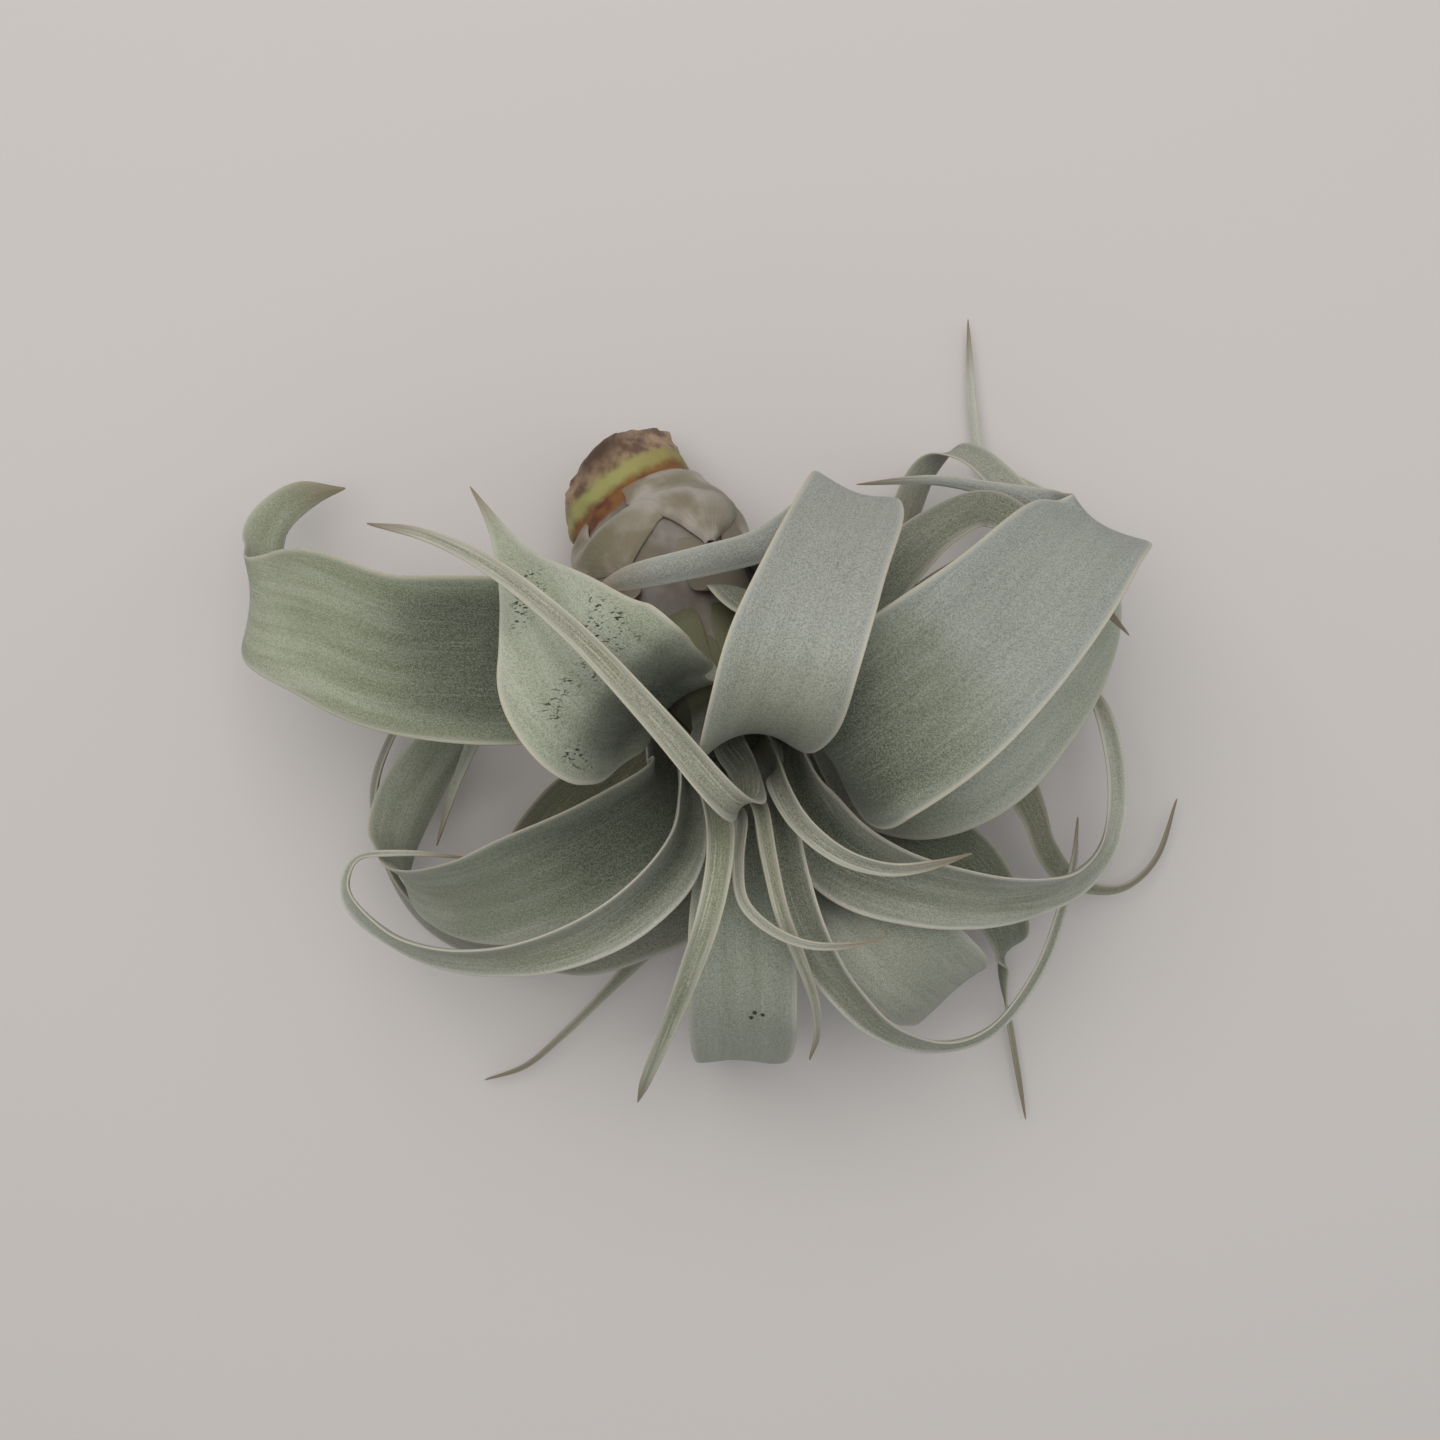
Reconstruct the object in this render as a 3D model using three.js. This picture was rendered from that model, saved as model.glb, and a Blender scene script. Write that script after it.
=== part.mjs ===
import * as THREE from "three";

// Air plant lying on its side on a table: a short woody stem, papery scales on the bulb and
// twenty-three channelled leaves that fan out of the throat. Millimetres, +Z up.

// Driving dimensions
const STEM_FOOT = new THREE.Vector3(-16.1, 42.6, 3.8);   // start of the stem's axis
const THROAT = new THREE.Vector3(3.1, -7.6, 43);   // where the leaves part
const STEM_SIDES = 24;
// Rings of the stem and the packed leaf bases on it: distance from the foot along the axis, how
// far the middle lies above the axis and to the right of it, how far the ring leans, and radius
const STEM_RINGS = [
  [2.4, 3.1, 0.8, 24, 1.4], [2.8, 3, 0.7, 24, 4], [4, 2.8, 0, 24, 7.2],
  [5.8, 2, -1, 24, 9.4], [8.4, 0.7, -1.7, 24, 10.4], [11.4, -0.4, -1.6, 24, 10.6],
  [14, -1.2, -1.3, 24, 10.7], [16.4, -1.6, -0.9, 22, 11], [18.3, -1.8, -0.6, 18, 11.5],
  [21, -1.4, -0.3, 12, 12.3], [24.5, -0.6, 0, 5, 12.9], [29, 0, 0, 0, 12.5],
  [36, 0, 0, 0, 11], [44, 0, 0, 0, 9.4], [50, 0, 0, 0, 8.2],
  [55, 0, 0, 0, 6.8], [59, 0, 0, 0, 5], [62, 0, 0, 0, 2.4],
  [63, 0, 0, 0, 0.4],
];
const LEAN_TOWARDS = -30;   // the side of the stem that the rings of the stub lean to
const BLADE = 0.7;          // thickness of a leaf
const CLEARANCE = 0.3;      // between a leaf's base and the stem
const SHEATH = 5;           // length of a leaf's base along the stem
const SHEATH_OPENING = 0.42;   // share of the way to the path's first width that it opens over
const STEPS = 3;            // sections between two rows of a path
const THINNEST = 0.9;       // least width of a leaf's tip
const WIDE = 19;            // a leaf wider than this has six cells across, one narrower
const NARROW = 8;           // than this three, and the others four
const SCALE_STEPS = 8;      // sections along a papery scale
const SCALE_CELLS = 6;      // cells across it
const SCALE_ROOM = 0.3;     // for its flat cells, which cut inside the round stem
const SCALE_FOOT = 0.12;    // share of its length over which it rises from the stem
const SCALE_WAIST = 0.4;    // share of its length after which it narrows
const SCALE_POINT = 1.6;    // how blunt its point is
const SCALE_END = 3;        // half of the angle that its end wraps

// Stem axis, with the two directions square to it that angles round the stem are counted from:
// 0 is the upper side and 90 the right-hand side seen from above
const axis = THROAT.clone().sub(STEM_FOOT).normalize();
const upper = new THREE.Vector3(0, 0, 1).addScaledVector(axis, -axis.z).normalize();
const side = upper.clone().cross(axis).normalize();
const radians = (degrees) => (degrees * Math.PI) / 180;

function aroundStem(degrees) {
  return upper.clone().multiplyScalar(Math.cos(radians(degrees)))
    .addScaledVector(side, Math.sin(radians(degrees)));
}

const hinge = aroundStem(LEAN_TOWARDS).cross(axis);

function ringAt(along) {
  const last = STEM_RINGS.length - 1;
  const i = STEM_RINGS.findIndex(([s], k) => k === last || (k > 0 && s >= along));
  const before = STEM_RINGS[i - 1];
  const after = STEM_RINGS[i];
  const part = (along - before[0]) / (after[0] - before[0]);
  return before.map((value, k) => value + (after[k] - value) * part);
}

function stemRadius(along) {
  return ringAt(along)[4];
}

function onStem(along, radius, degrees) {
  const [, above, aside, lean] = ringAt(along);
  const outward = aroundStem(degrees).applyAxisAngle(hinge, radians(lean));
  return STEM_FOOT.clone().addScaledVector(axis, along).addScaledVector(upper, above)
    .addScaledVector(side, aside).addScaledVector(outward, radius);
}

function facing(azimuth, elevation) {
  const flat = Math.cos(radians(elevation));
  return new THREE.Vector3(flat * Math.cos(radians(azimuth)), flat * Math.sin(radians(azimuth)),
    Math.sin(radians(elevation)));
}

// Papery scales on the bulb. First and last distance along the stem, angle round it, half of the
// angle that the scale wraps, and how far it stands off the stem in the middle.
const scales = [
  { name: "scale_1", from: 16.8, to: 34, around: 333, wrap: 53, lift: 1.1 },
  { name: "scale_2", from: 16.2, to: 33, around: 100, wrap: 50, lift: 1.1 },
  { name: "scale_3", from: 16, to: 32, around: 212, wrap: 50, lift: 1.1 },
  { name: "scale_4", from: 13, to: 34, around: 36, wrap: 42, lift: 2.6 },
  { name: "scale_5", from: 13.3, to: 31, around: 280, wrap: 34, lift: 2.5 },
];

// Leaves. seat: distance along the stem, angle round it, width there, outward slope of the base.
// path: middle of the blade x, y, z; azimuth and elevation that its upper face looks to; width;
// half of the angle that the channel takes up.
const leaves = [
  // narrow, arching over the big left leaf
  { name: "leaf_01", seat: [60.5, 355, 4.4, 0.3], path: [
    [2.9, -6.4, 52, -80, -20, 5, 75], [3.2, -9.9, 59, -70, 0, 5.2, 70],
    [0.7, -9.9, 67, -50, 50, 4.8, 60], [-8, 0.1, 72, -45, 80, 3.8, 50], [-18, 10.6, 71, 130, 85, 3, 40],
    [-28.4, 18.7, 66, 130, 70, 2.4, 35], [-37.2, 23, 61, 110, 65, 1.7, 30],
    [-45.8, 25.2, 55, 100, 60, 0.9, 25],
  ] },
  // thread-like, turned to the right
  { name: "leaf_02", seat: [60, 229, 2.4, 0.2], path: [
    [2.3, -12.8, 51.5, 60, 60, 2.2, 60], [1.9, -17.8, 56, 40, 70, 1.9, 55],
    [2.5, -23, 58, 0, 70, 1.7, 50], [5.8, -26.4, 58, -60, 70, 1.5, 45],
    [10.9, -28.7, 57, -80, 70, 1.3, 40], [16.6, -28.9, 56, -80, 70, 1, 35],
    [21.3, -28, 55, -80, 70, 0.8, 25],
  ] },
  // narrow, hanging down the front
  { name: "leaf_03", seat: [60.5, 195, 2.3, 0.15], path: [
    [4.9, -11.7, 51, 80, 60, 2.6, 60], [6, -17.6, 53.5, 90, 80, 2.4, 55],
    [7.6, -24.7, 54, -90, 80, 2.2, 50], [10.2, -31.4, 50, -70, 60, 1.8, 45],
    [12.5, -38.2, 44, -60, 30, 1.4, 40], [13.1, -43.7, 38, -60, 20, 1.1, 35],
    [12.4, -48.3, 32, -80, 10, 0.8, 25],
  ] },
  // narrow, reaching down the front to the left
  { name: "leaf_04", seat: [59, 277, 4.2, 0.2], path: [
    [-0.7, -12.5, 53, 70, 50, 4.6, 60], [-0.4, -18.1, 59, 80, 75, 4, 56],
    [-1.8, -24.9, 61, -100, 85, 3.6, 50], [-4.1, -31.9, 58, -100, 75, 3.2, 45],
    [-7.2, -40.5, 52, -100, 60, 2.4, 40], [-10, -47.8, 45, -110, 40, 1.7, 35],
    [-11.7, -53, 38, -110, 20, 1, 25],
  ] },
  // short and narrow, turned to the right
  { name: "leaf_05", seat: [60, 78, 3.5, 0.2], path: [
    [7.5, -8.4, 51, 150, 50, 3.8, 65], [10.2, -13.5, 55, 140, 70, 3.1, 55],
    [15.3, -17.4, 56, -90, 70, 2.7, 48], [21.5, -19.2, 55, -90, 60, 2.3, 42],
    [27.4, -18.7, 54, -90, 60, 1.6, 35], [32.5, -17.4, 53, -90, 60, 0.8, 25],
  ] },
  // long, hooked up again at the right
  { name: "leaf_06", seat: [59.5, 136, 4.6, 0.08], path: [
    [7.8, -15, 48, 140, 60, 7, 52], [9.2, -21.3, 49, 180, 70, 7, 52],
    [11.9, -28.6, 48, -160, 65, 6.8, 50], [16.6, -36.4, 43, -140, 60, 6, 46],
    [23.3, -43.2, 37, -110, 50, 5, 43], [31.8, -46.4, 30, -90, 40, 4, 40],
    [39.9, -44.8, 24, -60, 40, 3.7, 36], [47.2, -36.5, 20, -30, 45, 3.2, 32],
    [51.1, -27.9, 17, 0, 45, 2.6, 28], [53.1, -22.1, 15, 0, 40, 2, 25], [54.3, -14.8, 13, 0, 30, 1, 20],
  ] },
  // front leaf arching back over the bulb, its tip drawn across it
  { name: "leaf_07", seat: [57, 12, 11, 0.3], path: [
    [1.8, -0.9, 53, -82, -8, 16.5, 56], [3.2, -1.4, 61, -78, 12, 19.2, 54],
    [5.8, 2.5, 69, -72, 50, 19, 42], [8.8, 9.4, 72, -72, 85, 16.8, 28],
    [12.9, 19.3, 67, 68, 55, 14.8, 22], [17, 28.4, 55, 68, 10, 13.2, 22],
    [16.6, 29.7, 45, 80, -35, 9.5, 24], [12, 27.2, 41, 110, -60, 7, 26],
    [5.2, 23.7, 40, 110, -70, 5, 24], [-3, 21.3, 43, 100, -80, 4.4, 22],
    [-13.7, 18.5, 45.5, 100, -80, 3.4, 18], [-17.9, 16.4, 47, 100, -80, 1.6, 18],
  ] },
  // long, hooked round at the left
  { name: "leaf_08", seat: [57, 265, 7, 0.3], path: [
    [-4.9, -12.1, 42, 20, 35, 7.5, 52], [-7.2, -19.1, 49, -30, 48, 10, 50],
    [-14.8, -26.2, 50, -65, 50, 9.5, 46], [-25.6, -30.8, 47, -75, 45, 8.5, 40],
    [-37, -32.1, 42, -85, 40, 7, 36], [-46.1, -29.9, 37, -110, 35, 5.5, 32],
    [-53, -24.7, 32, 180, 25, 4, 28], [-52.5, -20.2, 29, 120, 20, 2.4, 26],
    [-46.6, -19.4, 27, 80, 30, 1.4, 25], [-36.8, -20.2, 25, 80, 30, 0.8, 20],
  ] },
  // long, hooked up at the right
  { name: "leaf_09", seat: [55.5, 96, 8.5, 0.35], path: [
    [11.5, -11, 40, 150, 48, 10, 44], [16.7, -18, 43.5, -150, 62, 13.5, 40],
    [25.5, -21.6, 45, -90, 50, 14, 40], [35.7, -23.7, 42, -85, 45, 12.5, 35],
    [45.7, -23.6, 36, -70, 40, 10, 32], [53.5, -20.6, 28, -35, 42, 7, 28],
    [57.6, -15.2, 22, 0, 52, 4.9, 26], [58.8, -7.6, 18, 15, 58, 4.2, 24],
    [57.7, 0.6, 15, 35, 60, 3.4, 22], [54.8, 7.5, 12, 40, 60, 1.8, 20],
  ] },
  // broad, leaning to the upper left
  { name: "leaf_10", seat: [52, 330, 12, 0.4], path: [
    [-9.5, 2.5, 50, -44, 8, 17.5, 46], [-11.1, 2.7, 56.5, -44, 10, 23, 46],
    [-13, 3.1, 61, -44, 30, 24.6, 42], [-14.6, 3.9, 63.5, -46, 52, 25.6, 35],
    [-17.6, 6.7, 63.5, -46, 83, 23, 26], [-21.3, 12.3, 60, 134, 74, 15.8, 22],
    [-26.5, 19.6, 52.5, 135, 55, 6.2, 22], [-30.7, 26.5, 47, 130, 45, 1.8, 20],
    [-34.2, 31.6, 43, 120, 40, 0.9, 20],
  ] },
  // broad, hanging down the front to the table
  { name: "leaf_11", seat: [56, 188, 9, 0.3], path: [
    [2.7, -19.7, 39, 75, 60, 14.5, 42], [2.7, -28.6, 43, 90, 75, 15.5, 32],
    [2.8, -38.7, 39, -90, 65, 15.5, 24], [3, -46.3, 30, -90, 35, 15, 14],
    [2.7, -50.7, 18, -90, 5, 13, 12], [0.9, -51, 6, -95, -40, 9, 14],
    [-1.1, -46.4, 0.9, -100, -75, 6, 16], [-3.8, -38.9, 3, 90, -70, 3.5, 18],
    [-5, -32.8, 8, 90, -50, 1.5, 20],
  ] },
  // broad, looping back on itself at the left
  { name: "leaf_12", seat: [51, 245, 12, 0.5], path: [
    [-7.6, -11.1, 36.5, 15, 42, 17, 46], [-14.1, -15.4, 43, -38, 58, 19, 42],
    [-24, -20.4, 42, -62, 62, 19, 34], [-34.8, -24.5, 36, -72, 58, 18, 30],
    [-44.7, -24.5, 26, -140, 15, 12.5, 28], [-49, -19.7, 17, 170, -40, 11, 26],
    [-47.3, -11.7, 13, 150, -60, 10.5, 25], [-42, -3.5, 12, 140, -66, 8, 25],
    [-36.9, 0.5, 13, 60, -60, 5, 25], [-37.1, -1.9, 17, -60, -40, 3.5, 24],
    [-40.4, -10.6, 18, -60, -30, 2.6, 22], [-42.9, -19.1, 17, -60, -30, 1.2, 20],
  ] },
  // broadest, arching to the upper right
  { name: "leaf_13", seat: [52, 62, 12, 0.45], path: [
    [11.7, -0.7, 46, -135, -12, 16.5, 34], [14.1, -4.3, 55, -135, 15, 23.5, 24],
    [17.3, -2.1, 61, -135, 50, 24.2, 20], [24.9, 3.1, 62.5, -133, 78, 24, 19],
    [35.6, 11.7, 57, 50, 70, 21.4, 20], [46.9, 22.6, 47, 58, 25, 17.8, 25],
    [52.6, 26.7, 37, 66, -20, 13.5, 24], [48, 29.3, 30, 100, -50, 7.6, 18],
    [40.6, 32.7, 27, 100, -60, 3, 18], [30.9, 34.7, 26, 100, -60, 1.6, 18],
    [19.4, 34.1, 26, 100, -60, 0.8, 18],
  ] },
  // broad, hanging down the front right to the table
  { name: "leaf_14", seat: [53, 150, 10.5, 0.4], path: [
    [13.1, -20.3, 32, 140, 60, 16, 40], [18.8, -26.1, 38, 150, 80, 17, 30],
    [25.5, -32.9, 36, -50, 60, 17, 22], [31.4, -38.3, 28, -50, 30, 16, 14],
    [34.1, -40.6, 18, -50, 0, 13, 12], [32.7, -39.5, 7, -50, -45, 10, 14],
    [28.4, -34.5, 0.6, -50, -80, 7, 16], [23.3, -28.5, 4, 130, -70, 4, 18],
    [19.8, -23.4, 9, 130, -50, 1.5, 20],
  ] },
  // under the looped leaf at the left
  { name: "leaf_15", seat: [47, 225, 12, 0.5], path: [
    [-4.7, -22.1, 27, 20, 62, 15, 40], [-12.5, -28.1, 29, -45, 55, 14.5, 36],
    [-23.4, -32.3, 28, -75, 45, 13, 34], [-36.1, -32.9, 19, -90, 35, 10.5, 30],
    [-46.4, -29, 11.5, -140, 20, 8, 28], [-52.3, -20.2, 9.5, 180, 10, 6, 26],
    [-53.6, -11, 9, 170, 20, 4.5, 24], [-51.1, -2.5, 8, 140, 30, 3, 22],
    [-46.2, 4.5, 8, 120, 30, 1.2, 20],
  ] },
  // broad, under the broadest, its tip far back
  { name: "leaf_16", seat: [46, 98, 13, 0.6], path: [
    [20, -4.1, 29.5, -165, 25, 20, 34], [25.8, -6, 36.5, -130, 55, 23, 28],
    [33.8, -2.9, 39, -80, 68, 23.5, 26], [42.8, 4.6, 35, -40, 65, 22, 22],
    [51.1, 13.7, 27, 20, 30, 18.5, 18], [56, 23.5, 18, 40, 0, 13, 18], [54.4, 29.9, 10, 60, -40, 7, 18],
    [47.4, 35.9, 6, 100, -50, 3.5, 18], [41.5, 40.4, 4, 90, -60, 1.8, 18],
    [39.7, 48.9, 3, 20, -60, 1.4, 18], [39.1, 63.7, 2, 20, -60, 0.8, 18],
  ] },
  // broad, lying out to the left with the tip turned back
  { name: "leaf_17", seat: [38, 292, 18, 0.9], path: [
    [-20, 7.9, 37, -30, 45, 22, 34], [-25.5, 8.3, 42, -70, 72, 24, 26],
    [-34.2, 8.4, 43, -100, 75, 24, 22], [-45.4, 9.3, 41, -120, 70, 23, 18],
    [-57.4, 13.6, 35, -170, 52, 21.5, 16], [-68, 16.7, 26, 168, 5, 15, 16],
    [-68.7, 23.5, 18, 158, -40, 9, 16], [-68.8, 30.1, 13, 150, -62, 6.5, 16],
    [-64.6, 34, 12, 110, -72, 5, 16], [-57.6, 35.4, 12, 90, -75, 2, 16],
  ] },
  // dark arch behind the broadest leaf
  { name: "leaf_18", seat: [41, 42, 11, 0.8], path: [
    [16.8, 14.6, 40.5, -100, -40, 10.5, 30], [23, 21.1, 40, -80, -60, 9, 24],
    [30.1, 27.2, 36, -60, -60, 7.5, 20], [37.1, 30.1, 33, -60, -60, 6.5, 18],
    [43.9, 26.5, 34.5, -90, -70, 4.5, 18], [51, 18.8, 34, -120, -75, 2.6, 18],
    [58.2, 11.9, 30, -120, -75, 0.8, 18],
  ] },
  // thin, reaching out at the lower left
  { name: "leaf_19", seat: [42, 200, 8, 0.6], path: [
    [-4.8, -24.9, 17, 0, 60, 6.4, 36], [-13.8, -37.2, 12, -50, 55, 3.2, 32],
    [-18.9, -43, 9, -50, 50, 2, 28], [-24.7, -49.1, 6, -50, 60, 1.4, 25],
    [-31.2, -54.9, 3, -50, 60, 1, 22], [-37.7, -57.3, 2, -50, 60, 0.8, 20],
  ] },
  // curled under, at the back right
  { name: "leaf_20", seat: [34, 72, 10, 0.8], path: [
    [23.3, 11.7, 21.5, -110, 60, 10.5, 28], [32.2, 17.6, 21.5, -100, 60, 10, 24],
    [41.4, 23.7, 19, -100, 80, 8.5, 22], [46, 29.9, 17, 90, 70, 6.5, 20],
    [42.7, 35.3, 16, 60, 68, 5.4, 20], [36.5, 40.6, 14, 80, 45, 5.2, 18],
    [32, 39.1, 11, 120, -40, 5.4, 18], [28.9, 32.5, 8, 140, -60, 5.6, 18],
    [26.7, 24.8, 7, 140, -50, 4, 18], [24.5, 18.5, 8, 140, -50, 2, 18],
  ] },
  // shaded, tip reaching out at the lower right
  { name: "leaf_21", seat: [36, 145, 9.5, 0.6], path: [
    [22.1, -13.3, 18, 140, 60, 11, 30], [29.5, -16.7, 22, 180, 75, 11, 26],
    [36.2, -20.6, 21, -70, 65, 9.5, 24], [40.8, -27.1, 18, -60, 50, 8.5, 22],
    [44.1, -33.8, 12, -60, 10, 6.5, 20], [44, -36.9, 6, -60, -30, 4, 18],
    [44.5, -42.1, 3, 0, -30, 1.8, 18], [45.8, -49.3, 2.5, 0, 60, 1.2, 18],
    [48.3, -63.7, 2, 0, 60, 0.8, 18],
  ] },
  // thin, tip curving up at the far right
  { name: "leaf_22", seat: [40, 112, 9, 0.6], path: [
    [25.4, -3.8, 23, -100, 60, 11, 28], [34.2, -4.3, 23, -80, 70, 9.5, 26],
    [42, -7.3, 20, -40, 60, 7, 24], [46.6, -13.7, 16, -20, 56, 5.2, 24],
    [49.3, -20, 13, -20, 50, 4.4, 22], [54.7, -25.2, 9, -60, 40, 3, 22],
    [62.1, -26.3, 7, -80, 40, 2.4, 20], [68, -22.1, 5, -50, 40, 1.8, 20],
    [71.8, -12.4, 4, 0, 40, 0.8, 18],
  ] },
  // short, shaded, standing on the table at the left
  { name: "leaf_23", seat: [34, 225, 11, 0.5], path: [
    [-17, -7, 15, -50, 50, 12, 32], [-23.1, -12.3, 14, -70, 50, 11.5, 26],
    [-28.1, -17.9, 10, -90, 30, 10, 22], [-30.9, -22.4, 5.2, -90, 10, 7, 20],
    [-30.9, -25.9, 1.6, -90, -40, 4, 18], [-26.5, -26.6, 2.6, -60, -60, 1.5, 18],
  ] },
];

// Smooth curve through rows of numbers, spaced by the root of the distance between them
function curveThrough(rows) {
  const gaps = rows.slice(1).map((row, i) => Math.sqrt(Math.hypot(
    row[0] - rows[i][0], row[1] - rows[i][1], row[2] - rows[i][2])));
  const last = rows.length - 1;
  const slopes = rows.map((row, i) => row.map((value, k) => {
    const before = i > 0 ? (value - rows[i - 1][k]) / gaps[i - 1] : null;
    const after = i < last ? (rows[i + 1][k] - value) / gaps[i] : null;
    if (before === null) return after;
    if (after === null) return before;
    return (before * gaps[i] + after * gaps[i - 1]) / (gaps[i] + gaps[i - 1]);
  }));
  const result = [];
  for (let i = 0; i < last; i++) {
    for (let j = 0; j < STEPS; j++) {
      const t = j / STEPS;
      const u = 1 - t;
      result.push(rows[i].map((value, k) => u * u * (1 + 2 * t) * value
        + t * t * (3 - 2 * t) * rows[i + 1][k]
        + t * u * gaps[i] * (u * slopes[i][k] - t * slopes[i + 1][k])));
    }
  }
  result.push(rows[last].slice());
  return result;
}

// Closed skin over a grid of points, half the blade's thickness to either side of it
function bladeGeometry(grid) {
  const rows = grid.length;
  const columns = grid[0].length;
  const positions = [];
  for (const half of [BLADE / 2, -BLADE / 2]) {
    for (let i = 0; i < rows; i++) {
      for (let j = 0; j < columns; j++) {
        const along = grid[Math.min(rows - 1, i + 1)][j].clone().sub(grid[Math.max(0, i - 1)][j]);
        const across = grid[i][Math.min(columns - 1, j + 1)].clone().sub(grid[i][Math.max(0, j - 1)]);
        const point = along.cross(across).normalize().multiplyScalar(half).add(grid[i][j]);
        positions.push(point.x, point.y, Math.max(0, point.z));   // what reaches the table lies flat
      }
    }
  }
  const top = (i, j) => i * columns + j;
  const under = (i, j) => (rows + i) * columns + j;
  const index = [];
  const quad = (a, b, c, d) => index.push(a, b, c, a, c, d);
  for (let i = 0; i < rows - 1; i++) {
    for (let j = 0; j < columns - 1; j++) {
      quad(top(i, j), top(i + 1, j), top(i + 1, j + 1), top(i, j + 1));
      index.push(under(i, j), under(i + 1, j + 1), under(i + 1, j));
      index.push(under(i, j), under(i, j + 1), under(i + 1, j + 1));
    }
    quad(top(i + 1, 0), top(i, 0), under(i, 0), under(i + 1, 0));
    quad(top(i, columns - 1), top(i + 1, columns - 1), under(i + 1, columns - 1), under(i, columns - 1));
  }
  for (let j = 0; j < columns - 1; j++) {
    quad(top(0, j), top(0, j + 1), under(0, j + 1), under(0, j));
    quad(top(rows - 1, j + 1), top(rows - 1, j), under(rows - 1, j), under(rows - 1, j + 1));
  }
  return geometryOf(positions, index);
}

function geometryOf(positions, index) {
  const geometry = new THREE.BufferGeometry();
  geometry.setAttribute("position", new THREE.Float32BufferAttribute(positions, 3));
  geometry.setIndex(index);
  geometry.computeVertexNormals();
  return geometry;
}

function stemGeometry() {
  const positions = [];
  const index = [];
  const last = STEM_RINGS.length - 1;
  STEM_RINGS.forEach(([along, , , , radius]) => {
    for (let k = 0; k < STEM_SIDES; k++) {
      const point = onStem(along, radius, (k * 360) / STEM_SIDES);
      positions.push(point.x, point.y, Math.max(0, point.z));   // the spot that it rests on
    }
  });
  for (let i = 0; i < last; i++) {
    for (let k = 0; k < STEM_SIDES; k++) {
      const a = i * STEM_SIDES + k;
      const b = i * STEM_SIDES + ((k + 1) % STEM_SIDES);
      index.push(a, b + STEM_SIDES, b, a, a + STEM_SIDES, b + STEM_SIDES);
    }
  }
  for (let k = 1; k < STEM_SIDES - 1; k++) {
    index.push(0, k, k + 1);
    index.push(last * STEM_SIDES, last * STEM_SIDES + k + 1, last * STEM_SIDES + k);
  }
  return geometryOf(positions, index);
}

// A leaf starts as a sheath bent round the stem and goes on along its path. Each section is an
// arc: middle, the way it faces, width and half of the angle that it takes up.
function leafGrid(leaf) {
  const [along, around, seatWidth, slope] = leaf.seat;
  const outward = aroundStem(around);
  const rows = [0, 0.5, 1].map((part) => {
    const radius = stemRadius(along) + CLEARANCE + BLADE / 2 + slope * SHEATH * part;
    const middle = onStem(along + SHEATH * part, radius, around);
    const width = seatWidth + SHEATH_OPENING * part * (leaf.path[0][5] - seatWidth);
    return [middle.x, middle.y, middle.z, -outward.x, -outward.y, -outward.z,
      width, width / (2 * radius), 1];
  });
  for (const [x, y, z, azimuth, elevation, width, channel] of leaf.path) {
    const face = facing(azimuth, elevation);
    rows.push([x, y, z, face.x, face.y, face.z, width, radians(channel), 0]);
  }
  const sections = curveThrough(rows).map((row) => ({
    middle: new THREE.Vector3(row[0], row[1], row[2]),
    face: new THREE.Vector3(row[3], row[4], row[5]).normalize(),
    width: Math.max(row[6], THINNEST),
    angle: row[7],
    sheath: Math.min(1, Math.max(0, row[8])),
  }));
  const widest = Math.max(...leaf.path.map((point) => point[5]));
  const cells = widest > WIDE ? 6 : widest > NARROW ? 4 : 3;
  return sections.map(({ middle, face, width, angle, sheath }, i) => {
    const before = sections[Math.max(0, i - 1)].middle;
    const after = sections[Math.min(sections.length - 1, i + 1)].middle;
    const forward = after.clone().sub(before).normalize();
    face.addScaledVector(forward, -face.dot(forward) * (1 - sheath)).normalize();
    const across = forward.clone().cross(face).normalize();
    const radius = width / (2 * angle);
    return Array.from({ length: cells + 1 }, (_, j) => {
      const turn = angle * ((2 * j) / cells - 1);
      return middle.clone().addScaledVector(across, radius * Math.sin(turn))
        .addScaledVector(face, radius * (1 - Math.cos(turn)));
    });
  });
}

// A scale follows the bulb and narrows to a point in its upper part
function scaleGrid({ from, to, around, wrap, lift }) {
  return Array.from({ length: SCALE_STEPS + 1 }, (_, i) => {
    const part = i / SCALE_STEPS;
    const along = from + (to - from) * part;
    const seat = CLEARANCE + BLADE / 2 + SCALE_ROOM;
    const radius = stemRadius(along) + seat + (lift - seat) * Math.min(1, part / SCALE_FOOT);
    const narrowing = Math.max(0, (part - SCALE_WAIST) / (1 - SCALE_WAIST)) ** SCALE_POINT;
    const half = Math.max(wrap * (1 - narrowing), SCALE_END);
    return Array.from({ length: SCALE_CELLS + 1 }, (_, j) => (
      onStem(along, radius, around + half * ((2 * j) / SCALE_CELLS - 1))));
  });
}

function addSolid(group, name, geometry, color, roughness) {
  const material = new THREE.MeshStandardMaterial({ color, roughness });
  const mesh = new THREE.Mesh(geometry, material);
  mesh.name = name;
  group.add(mesh);
}

const plant = new THREE.Group();
plant.name = "air_plant";
addSolid(plant, "stem", stemGeometry(), 0x8a8468, 0.9);
for (const scale of scales) {
  addSolid(plant, scale.name, bladeGeometry(scaleGrid(scale)), 0xb9b5a8, 0.85);
}
for (const leaf of leaves) {
  addSolid(plant, leaf.name, bladeGeometry(leafGrid(leaf)), 0x8f9a86, 0.8);
}

export default plant;
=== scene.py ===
import math

import bmesh
import bpy
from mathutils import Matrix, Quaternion, Vector, noise


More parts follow.
